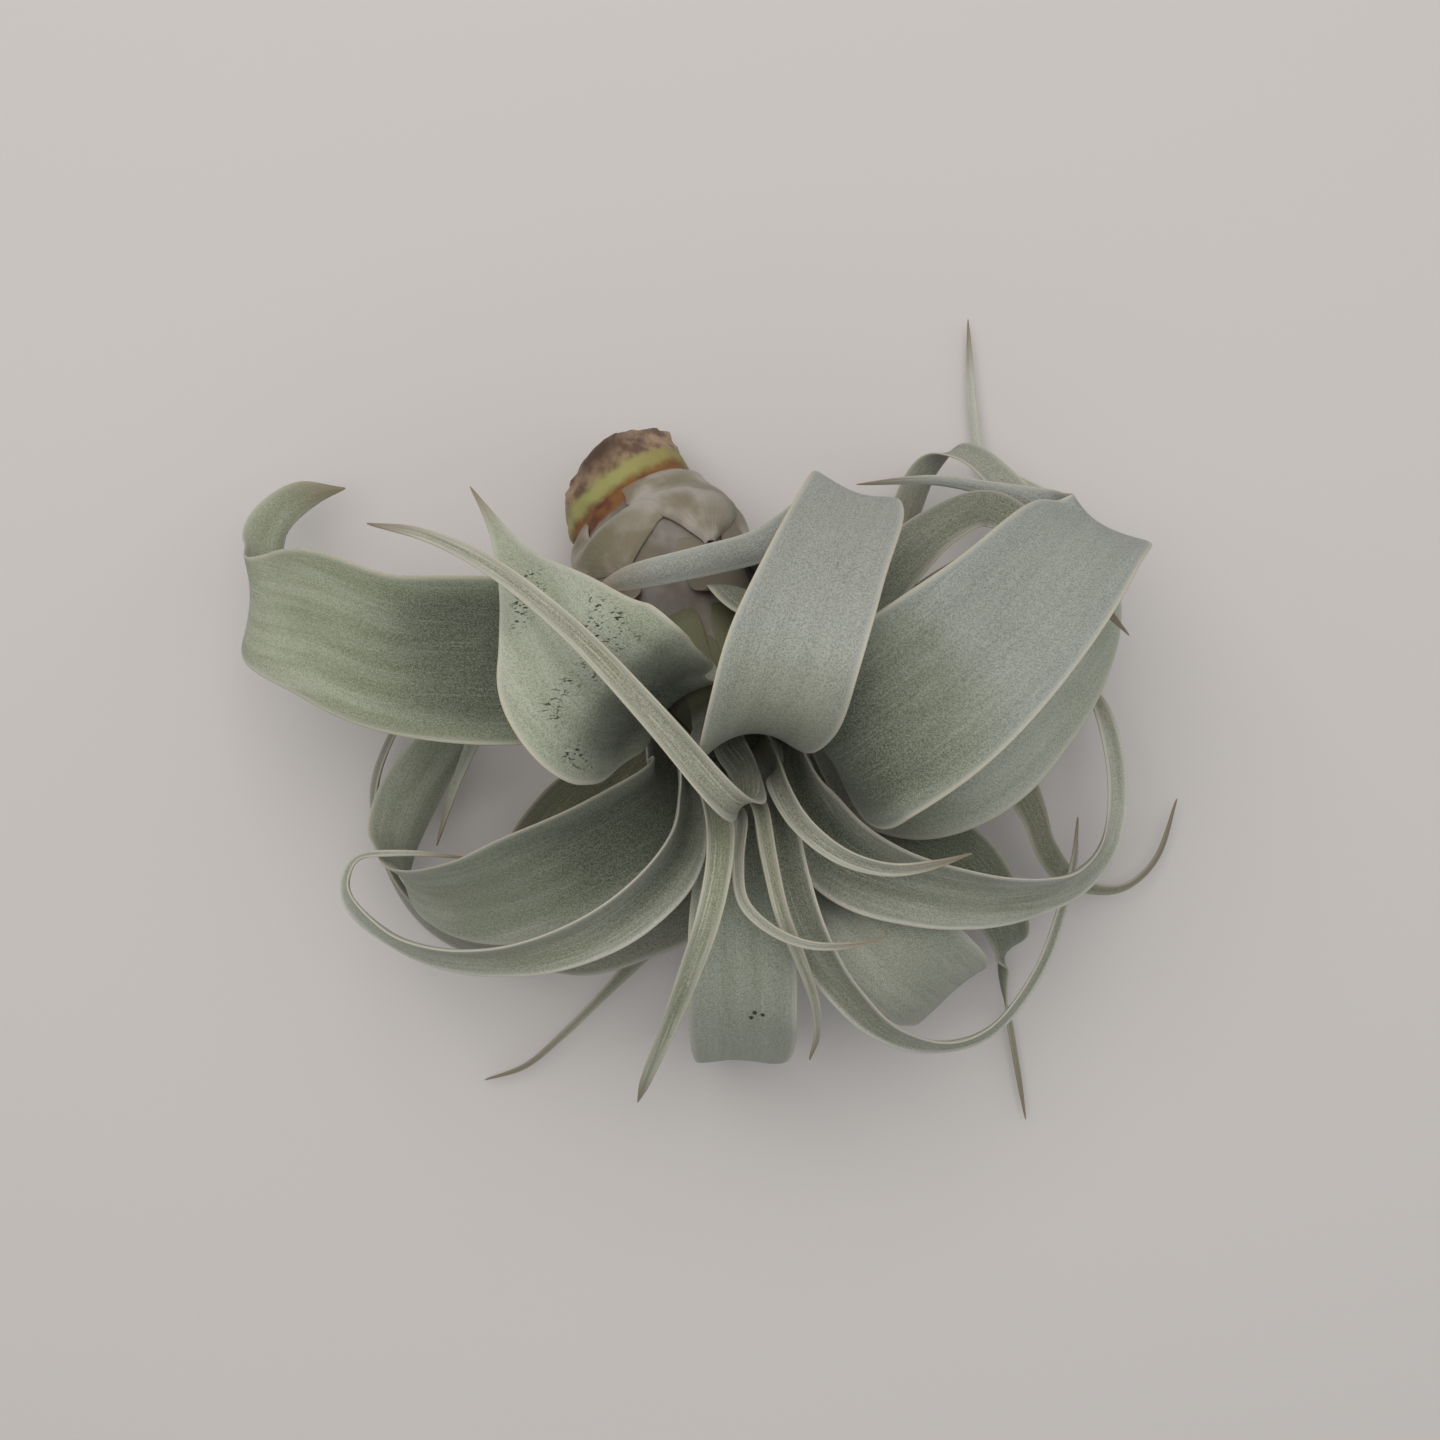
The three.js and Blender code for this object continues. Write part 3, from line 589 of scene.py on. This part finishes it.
# seat: distance along the stem, angle round it, width there and how fast the base stands off.
# path: middle of the blade, azimuth and elevation that its upper face looks to, width, and half of
# the angle that its channel turns through.
BROAD = [
    {"name": "leaf_17", "body": (148, 153, 131), "shade": (124, 130, 103),
     "rim": (138, 138, 124), "wave": 0.4, "painted_shade_reach": 46,
     "seat": (38, 292, 18, 0.9), "path": [
        (-20, 7.9, 37, -30, 45, 22, 34), (-25.5, 8.3, 42, -70, 72, 24, 26),
        (-34.2, 8.4, 43, -100, 75, 24, 22), (-45.4, 9.3, 41, -120, 70, 23, 18),
        (-57.4, 13.6, 35, -170, 52, 21.5, 16), (-68, 16.7, 26, 168, 5, 15, 16),
        (-68.7, 23.5, 18, 158, -40, 9, 16), (-68.8, 30.1, 13, 150, -62, 6.5, 16),
        (-64.6, 34, 12, 110, -72, 5, 16), (-57.6, 35.4, 12, 90, -75, 2, 16),
    ]},
    {"name": "leaf_16", "body": (162, 165, 152), "shade": (146, 151, 134),
     "rim": (156, 156, 148), "wave": 0.4, "painted_shade_reach": 32,
     "seat": (46, 98, 13, 0.6), "path": [
        (20, -4.1, 29.5, -165, 25, 20, 34), (25.8, -6, 36.5, -130, 55, 23, 28),
        (33.8, -2.9, 39, -80, 68, 23.5, 26), (42.8, 4.6, 35, -40, 65, 22, 22),
        (51.1, 13.7, 27, 20, 30, 18.5, 18), (56, 23.5, 18, 40, 0, 13, 18),
        (54.4, 29.9, 10, 60, -40, 7, 18), (47.4, 35.9, 6, 100, -50, 3.5, 18),
        (41.5, 40.4, 4, 90, -60, 1.8, 18), (39.7, 48.9, 3, 20, -60, 1.4, 18),
        (39.1, 63.7, 2, 20, -60, 0.8, 18),
    ]},
    {"name": "leaf_15", "body": (120, 120, 108), "shade": (106, 106, 92),
     "rim": (118, 116, 106), "wave": 0.3, "painted_shade_reach": 26,
     "seat": (47, 225, 12, 0.5), "path": [
        (-4.7, -22.1, 27, 20, 62, 15, 40), (-12.5, -28.1, 29, -45, 55, 14.5, 36),
        (-23.4, -32.3, 28, -75, 45, 13, 34), (-36.1, -32.9, 19, -90, 35, 10.5, 30),
        (-46.4, -29, 11.5, -140, 20, 8, 28), (-52.3, -20.2, 9.5, 180, 10, 6, 26),
        (-53.6, -11, 9, 170, 20, 4.5, 24), (-51.1, -2.5, 8, 140, 30, 3, 22),
        (-46.2, 4.5, 8, 120, 30, 1.2, 20),
    ]},
    {"name": "leaf_14", "body": (150, 152, 139), "shade": (134, 137, 122),
     "rim": (148, 145, 136), "wave": 0.5, "painted_shade_reach": 26,
     "seat": (53, 150, 10.5, 0.4), "path": [
        (13.1, -20.3, 32, 140, 60, 16, 40), (18.8, -26.1, 38, 150, 80, 17, 30),
        (25.5, -32.9, 36, -50, 60, 17, 22), (31.4, -38.3, 28, -50, 30, 16, 14),
        (34.1, -40.6, 18, -50, 0, 13, 12), (32.7, -39.5, 7, -50, -45, 10, 14),
        (28.4, -34.5, 0.6, -50, -80, 7, 16), (23.3, -28.5, 4, 130, -70, 4, 18),
        (19.8, -23.4, 9, 130, -50, 1.5, 20),
    ]},
    {"name": "leaf_13", "body": (132, 137, 119), "shade": (116, 121, 102),
     "rim": (130, 132, 128), "wave": 0.3, "painted_shade_reach": 50, "flecks": 0.2, "frost": 46,
     "foot": GREEN_FOOT,
     "seat": (52, 62, 12, 0.45), "path": [
        (11.7, -0.7, 46, -135, -12, 16.5, 34), (14.1, -4.3, 55, -135, 15, 23.5, 24),
        (17.3, -2.1, 61, -135, 50, 24.2, 20), (24.9, 3.1, 62.5, -133, 78, 24, 19),
        (35.6, 11.7, 57, 50, 70, 21.4, 20), (46.9, 22.6, 47, 58, 25, 17.8, 25),
        (52.6, 26.7, 37, 66, -20, 13.5, 24), (48, 29.3, 30, 100, -50, 7.6, 18),
        (40.6, 32.7, 27, 100, -60, 3, 18), (30.9, 34.7, 26, 100, -60, 1.6, 18),
        (19.4, 34.1, 26, 100, -60, 0.8, 18),
    ]},
    {"name": "leaf_12", "body": (142, 146, 130), "shade": (118, 124, 104),
     "rim": (146, 147, 135), "wave": 0.3, "painted_shade_reach": 44,
     "seat": (51, 245, 12, 0.5), "path": [
        (-7.6, -11.1, 36.5, 15, 42, 17, 46), (-14.1, -15.4, 43, -38, 58, 19, 42),
        (-24, -20.4, 42, -62, 62, 19, 34), (-34.8, -24.5, 36, -72, 58, 18, 30),
        (-44.7, -24.5, 26, -140, 15, 12.5, 28), (-49, -19.7, 17, 170, -40, 11, 26),
        (-47.3, -11.7, 13, 150, -60, 10.5, 25), (-42, -3.5, 12, 140, -66, 8, 25),
        (-36.9, 0.5, 13, 60, -60, 5, 25), (-37.1, -1.9, 17, -60, -40, 3.5, 24),
        (-40.4, -10.6, 18, -60, -30, 2.6, 22), (-42.9, -19.1, 17, -60, -30, 1.2, 20),
    ]},
    {"name": "leaf_11", "body": (138, 142, 128), "shade": (126, 131, 116),
     "rim": (144, 143, 136), "wave": 0.9, "painted_shade_reach": 30,
     "marks": ((4.0, -41.4), (4.5, -40.6), (5.6, -40.9)),
     "seat": (56, 188, 9, 0.3), "path": [
        (2.7, -19.7, 39, 75, 60, 14.5, 42), (2.7, -28.6, 43, 90, 75, 15.5, 32),
        (2.8, -38.7, 39, -90, 65, 15.5, 24), (3, -46.3, 30, -90, 35, 15, 14),
        (2.7, -50.7, 18, -90, 5, 13, 12), (0.9, -51, 6, -95, -40, 9, 14),
        (-1.1, -46.4, 0.9, -100, -75, 6, 16), (-3.8, -38.9, 3, 90, -70, 3.5, 18),
        (-5, -32.8, 8, 90, -50, 1.5, 20),
    ]},
    {"name": "leaf_10", "body": (157, 161, 144), "shade": (141, 146, 126),
     "rim": (152, 151, 138), "wave": 0.25, "painted_shade_reach": 34, "flecks": 1.0,
     "foot": GREEN_FOOT,
     "seat": (52, 330, 12, 0.4), "path": [
        (-9.5, 2.5, 50, -44, 8, 17.5, 46), (-11.1, 2.7, 56.5, -44, 10, 23, 46),
        (-13, 3.1, 61, -44, 30, 24.6, 42), (-14.6, 3.9, 63.5, -46, 52, 25.6, 35),
        (-17.6, 6.7, 63.5, -46, 83, 23, 26), (-21.3, 12.3, 60, 134, 74, 15.8, 22),
        (-26.5, 19.6, 52.5, 135, 55, 6.2, 22), (-30.7, 26.5, 47, 130, 45, 1.8, 20),
        (-34.2, 31.6, 43, 120, 40, 0.9, 20),
    ]},
]
for blade in BROAD:
    finish = leaf_finish(blade["name"] + "_bloom", blade["body"], blade["shade"], blade["rim"],
                         foot=blade.get("foot", PAPERY_FOOT), flecks=blade.get("flecks", 0.1),
                         painted_shade_reach=blade["painted_shade_reach"], frost=blade.get("frost", NO_FROST),
                         marks=blade.get("marks", ()))
    leaf(blade["name"], blade["seat"], blade["path"], finish, blade["wave"])

# Small leaves under the broad ones.
# Older and narrower, in the shade of the others, so greener, with long thin tips that run out
# over the table.
LOWER = [
    {"name": "leaf_23", "body": (110, 108, 82), "shade": (92, 94, 68), "rim": (104, 98, 80),
     "seat": (34, 225, 11, 0.5), "path": [
        (-17, -7, 15, -50, 50, 12, 32), (-23.1, -12.3, 14, -70, 50, 11.5, 26),
        (-28.1, -17.9, 10, -90, 30, 10, 22), (-30.9, -22.4, 5.2, -90, 10, 7, 20),
        (-30.9, -25.9, 1.6, -90, -40, 4, 18), (-26.5, -26.6, 2.6, -60, -60, 1.5, 18),
    ]},
    {"name": "leaf_22", "body": (114, 115, 95), "shade": (98, 99, 78), "rim": (118, 113, 94),
     "seat": (40, 112, 9, 0.6), "path": [
        (25.4, -3.8, 23, -100, 60, 11, 28), (34.2, -4.3, 23, -80, 70, 9.5, 26),
        (42, -7.3, 20, -40, 60, 7, 24), (46.6, -13.7, 16, -20, 56, 5.2, 24),
        (49.3, -20, 13, -20, 50, 4.4, 22), (54.7, -25.2, 9, -60, 40, 3, 22),
        (62.1, -26.3, 7, -80, 40, 2.4, 20), (68, -22.1, 5, -50, 40, 1.8, 20),
        (71.8, -12.4, 4, 0, 40, 0.8, 18),
    ]},
    {"name": "leaf_21", "body": (100, 106, 86), "shade": (84, 90, 70), "rim": (106, 108, 90),
     "seat": (36, 145, 9.5, 0.6), "path": [
        (22.1, -13.3, 18, 140, 60, 11, 30), (29.5, -16.7, 22, 180, 75, 11, 26),
        (36.2, -20.6, 21, -70, 65, 9.5, 24), (40.8, -27.1, 18, -60, 50, 8.5, 22),
        (44.1, -33.8, 12, -60, 10, 6.5, 20), (44, -36.9, 6, -60, -30, 4, 18),
        (44.5, -42.1, 3, 0, -30, 1.8, 18), (45.8, -49.3, 2.5, 0, 60, 1.2, 18),
        (48.3, -63.7, 2, 0, 60, 0.8, 18),
    ]},
    {"name": "leaf_20", "body": (130, 131, 118), "shade": (114, 116, 100), "rim": (130, 130, 122),
     "seat": (34, 72, 10, 0.8), "path": [
        (23.3, 11.7, 21.5, -110, 60, 10.5, 28), (32.2, 17.6, 21.5, -100, 60, 10, 24),
        (41.4, 23.7, 19, -100, 80, 8.5, 22), (46, 29.9, 17, 90, 70, 6.5, 20),
        (42.7, 35.3, 16, 60, 68, 5.4, 20), (36.5, 40.6, 14, 80, 45, 5.2, 18),
        (32, 39.1, 11, 120, -40, 5.4, 18), (28.9, 32.5, 8, 140, -60, 5.6, 18),
        (26.7, 24.8, 7, 140, -50, 4, 18), (24.5, 18.5, 8, 140, -50, 2, 18),
    ]},
    {"name": "leaf_19", "body": (124, 124, 108), "shade": (108, 108, 90), "rim": (124, 120, 106),
     "seat": (42, 200, 8, 0.6), "path": [
        (-4.8, -24.9, 17, 0, 60, 6.4, 36), (-13.8, -37.2, 12, -50, 55, 3.2, 32),
        (-18.9, -43, 9, -50, 50, 2, 28), (-24.7, -49.1, 6, -50, 60, 1.4, 25),
        (-31.2, -54.9, 3, -50, 60, 1, 22), (-37.7, -57.3, 2, -50, 60, 0.8, 20),
    ]},
    {"name": "leaf_18", "body": (98, 100, 85), "shade": (82, 84, 68), "rim": (112, 112, 98),
     "seat": (41, 42, 11, 0.8), "path": [
        (16.8, 14.6, 40.5, -100, -40, 10.5, 30), (23, 21.1, 40, -80, -60, 9, 24),
        (30.1, 27.2, 36, -60, -60, 7.5, 20), (37.1, 30.1, 33, -60, -60, 6.5, 18),
        (43.9, 26.5, 34.5, -90, -70, 4.5, 18), (51, 18.8, 34, -120, -75, 2.6, 18),
        (58.2, 11.9, 30, -120, -75, 0.8, 18),
    ]},
]
for blade in LOWER:
    finish = leaf_finish(blade["name"] + "_bloom", blade["body"], blade["shade"],
                         blade["rim"], foot=PAPERY_FOOT, streaks=0.2, tip_length=25)
    leaf(blade["name"], blade["seat"], blade["path"], finish, 0.1, cells=6)

# Long channelled leaves.
# They stand up out of the throat, arch outwards and hook back at their ends, deeper channelled
# than the broad ones.
LONG = [
    {"name": "leaf_09", "body": (146, 148, 134), "shade": (116, 120, 102), "rim": (164, 160, 152),
     "seat": (55.5, 96, 8.5, 0.35), "path": [
        (11.5, -11, 40, 150, 48, 10, 44), (16.7, -18, 43.5, -150, 62, 13.5, 40),
        (25.5, -21.6, 45, -90, 50, 14, 40), (35.7, -23.7, 42, -85, 45, 12.5, 35),
        (45.7, -23.6, 36, -70, 40, 10, 32), (53.5, -20.6, 28, -35, 42, 7, 28),
        (57.6, -15.2, 22, 0, 52, 4.9, 26), (58.8, -7.6, 18, 15, 58, 4.2, 24),
        (57.7, 0.6, 15, 35, 60, 3.4, 22), (54.8, 7.5, 12, 40, 60, 1.8, 20),
    ]},
    {"name": "leaf_08", "body": (146, 149, 134), "shade": (120, 122, 102), "rim": (150, 150, 140),
     "seat": (57, 265, 7, 0.3), "path": [
        (-4.9, -12.1, 42, 20, 35, 7.5, 52), (-7.2, -19.1, 49, -30, 48, 10, 50),
        (-14.8, -26.2, 50, -65, 50, 9.5, 46), (-25.6, -30.8, 47, -75, 45, 8.5, 40),
        (-37, -32.1, 42, -85, 40, 7, 36), (-46.1, -29.9, 37, -110, 35, 5.5, 32),
        (-53, -24.7, 32, 180, 25, 4, 28), (-52.5, -20.2, 29, 120, 20, 2.4, 26),
        (-46.6, -19.4, 27, 80, 30, 1.4, 25), (-36.8, -20.2, 25, 80, 30, 0.8, 20),
    ]},
    {"name": "leaf_06", "body": (136, 137, 124), "shade": (106, 108, 90), "rim": (134, 133, 122),
     "seat": (59.5, 136, 4.6, 0.08), "path": [
        (7.8, -15, 48, 140, 60, 7, 52), (9.2, -21.3, 49, 180, 70, 7, 52),
        (11.9, -28.6, 48, -160, 65, 6.8, 50), (16.6, -36.4, 43, -140, 60, 6, 46),
        (23.3, -43.2, 37, -110, 50, 5, 43), (31.8, -46.4, 30, -90, 40, 4, 40),
        (39.9, -44.8, 24, -60, 40, 3.7, 36), (47.2, -36.5, 20, -30, 45, 3.2, 32),
        (51.1, -27.9, 17, 0, 45, 2.6, 28), (53.1, -22.1, 15, 0, 40, 2, 25),
        (54.3, -14.8, 13, 0, 30, 1, 20),
    ]},
]
for blade in LONG:
    finish = leaf_finish(blade["name"] + "_bloom", blade["body"], blade["shade"],
                         blade["rim"], streaks=0.28, frill=0.65, painted_shade_reach=40)
    leaf(blade["name"], blade["seat"], blade["path"], finish, 0.15, cells=8)

# Front leaf.
# It arches back over the bulb towards the stem, with its tip drawn across, and its far half is
# frosted grey.
FRONT = {
    "seat": (57, 12, 11, 0.3), "path": [
        (1.8, -0.9, 53, -82, -8, 16.5, 56), (3.2, -1.4, 61, -78, 12, 19.2, 54),
        (5.8, 2.5, 69, -72, 50, 19, 42), (8.8, 9.4, 72, -72, 85, 16.8, 28),
        (12.9, 19.3, 67, 68, 55, 14.8, 22), (17, 28.4, 55, 68, 10, 13.2, 22),
        (16.6, 29.7, 45, 80, -35, 9.5, 24), (12, 27.2, 41, 110, -60, 7, 26),
        (5.2, 23.7, 40, 110, -70, 5, 24), (-3, 21.3, 43, 100, -80, 4.4, 22),
        (-13.7, 18.5, 45.5, 100, -80, 3.4, 18), (-17.9, 16.4, 47, 100, -80, 1.6, 18),
    ]}
front_bloom = leaf_finish("leaf_07_bloom", (136, 138, 121), (126, 128, 110), (134, 134, 128),
                          streaks=0.08, flecks=0.2, painted_shade_reach=28, frost=34)
leaf("leaf_07", FRONT["seat"], FRONT["path"], front_bloom, 0.3)

# Heart leaves.
# The youngest, narrow and folded into a channel, streaked lengthwise with straw colour.
HEART = [
    {"name": "leaf_05", "body": (126, 126, 114), "shade": (106, 106, 92), "rim": (126, 124, 112),
     "seat": (60, 78, 3.5, 0.2), "path": [
        (7.5, -8.4, 51, 150, 50, 3.8, 65), (10.2, -13.5, 55, 140, 70, 3.1, 55),
        (15.3, -17.4, 56, -90, 70, 2.7, 48), (21.5, -19.2, 55, -90, 60, 2.3, 42),
        (27.4, -18.7, 54, -90, 60, 1.6, 35), (32.5, -17.4, 53, -90, 60, 0.8, 25),
    ]},
    {"name": "leaf_04", "body": (128, 130, 110), "shade": (98, 101, 76), "rim": (130, 131, 114),
     "seat": (59, 277, 4.2, 0.2), "path": [
        (-0.7, -12.5, 53, 70, 50, 4.6, 60), (-0.4, -18.1, 59, 80, 75, 4, 56),
        (-1.8, -24.9, 61, -100, 85, 3.6, 50), (-4.1, -31.9, 58, -100, 75, 3.2, 45),
        (-7.2, -40.5, 52, -100, 60, 2.4, 40), (-10, -47.8, 45, -110, 40, 1.7, 35),
        (-11.7, -53, 38, -110, 20, 1, 25),
    ]},
    {"name": "leaf_03", "body": (120, 119, 98), "shade": (96, 95, 72), "rim": (124, 120, 102),
     "seat": (60.5, 195, 2.3, 0.15), "path": [
        (4.9, -11.7, 51, 80, 60, 2.6, 60), (6, -17.6, 53.5, 90, 80, 2.4, 55),
        (7.6, -24.7, 54, -90, 80, 2.2, 50), (10.2, -31.4, 50, -70, 60, 1.8, 45),
        (12.5, -38.2, 44, -60, 30, 1.4, 40), (13.1, -43.7, 38, -60, 20, 1.1, 35),
        (12.4, -48.3, 32, -80, 10, 0.8, 25),
    ]},
    {"name": "leaf_02", "body": (118, 117, 105), "shade": (104, 102, 88), "rim": (120, 116, 104),
     "seat": (60, 229, 2.4, 0.2), "path": [
        (2.3, -12.8, 51.5, 60, 60, 2.2, 60), (1.9, -17.8, 56, 40, 70, 1.9, 55),
        (2.5, -23, 58, 0, 70, 1.7, 50), (5.8, -26.4, 58, -60, 70, 1.5, 45),
        (10.9, -28.7, 57, -80, 70, 1.3, 40), (16.6, -28.9, 56, -80, 70, 1, 35),
        (21.3, -28, 55, -80, 70, 0.8, 25),
    ]},
    {"name": "leaf_01", "body": (128, 127, 112), "shade": (110, 109, 92), "rim": (130, 127, 114),
     "seat": (60.5, 355, 4.4, 0.3), "path": [
        (2.9, -6.4, 52, -80, -20, 5, 75), (3.2, -9.9, 59, -70, 0, 5.2, 70),
        (0.7, -9.9, 67, -50, 50, 4.8, 60), (-8, 0.1, 72, -45, 80, 3.8, 50),
        (-18, 10.6, 71, 130, 85, 3, 40), (-28.4, 18.7, 66, 130, 70, 2.4, 35),
        (-37.2, 23, 61, 110, 65, 1.7, 30), (-45.8, 25.2, 55, 100, 60, 0.9, 25),
    ]},
]
for blade in HEART:
    finish = leaf_finish(blade["name"] + "_bloom", blade["body"], blade["shade"],
                         blade["rim"], streaks=0.6, frill=0.35, painted_shade_reach=24)
    leaf(blade["name"], blade["seat"], blade["path"], finish, 0.05, cells=8)
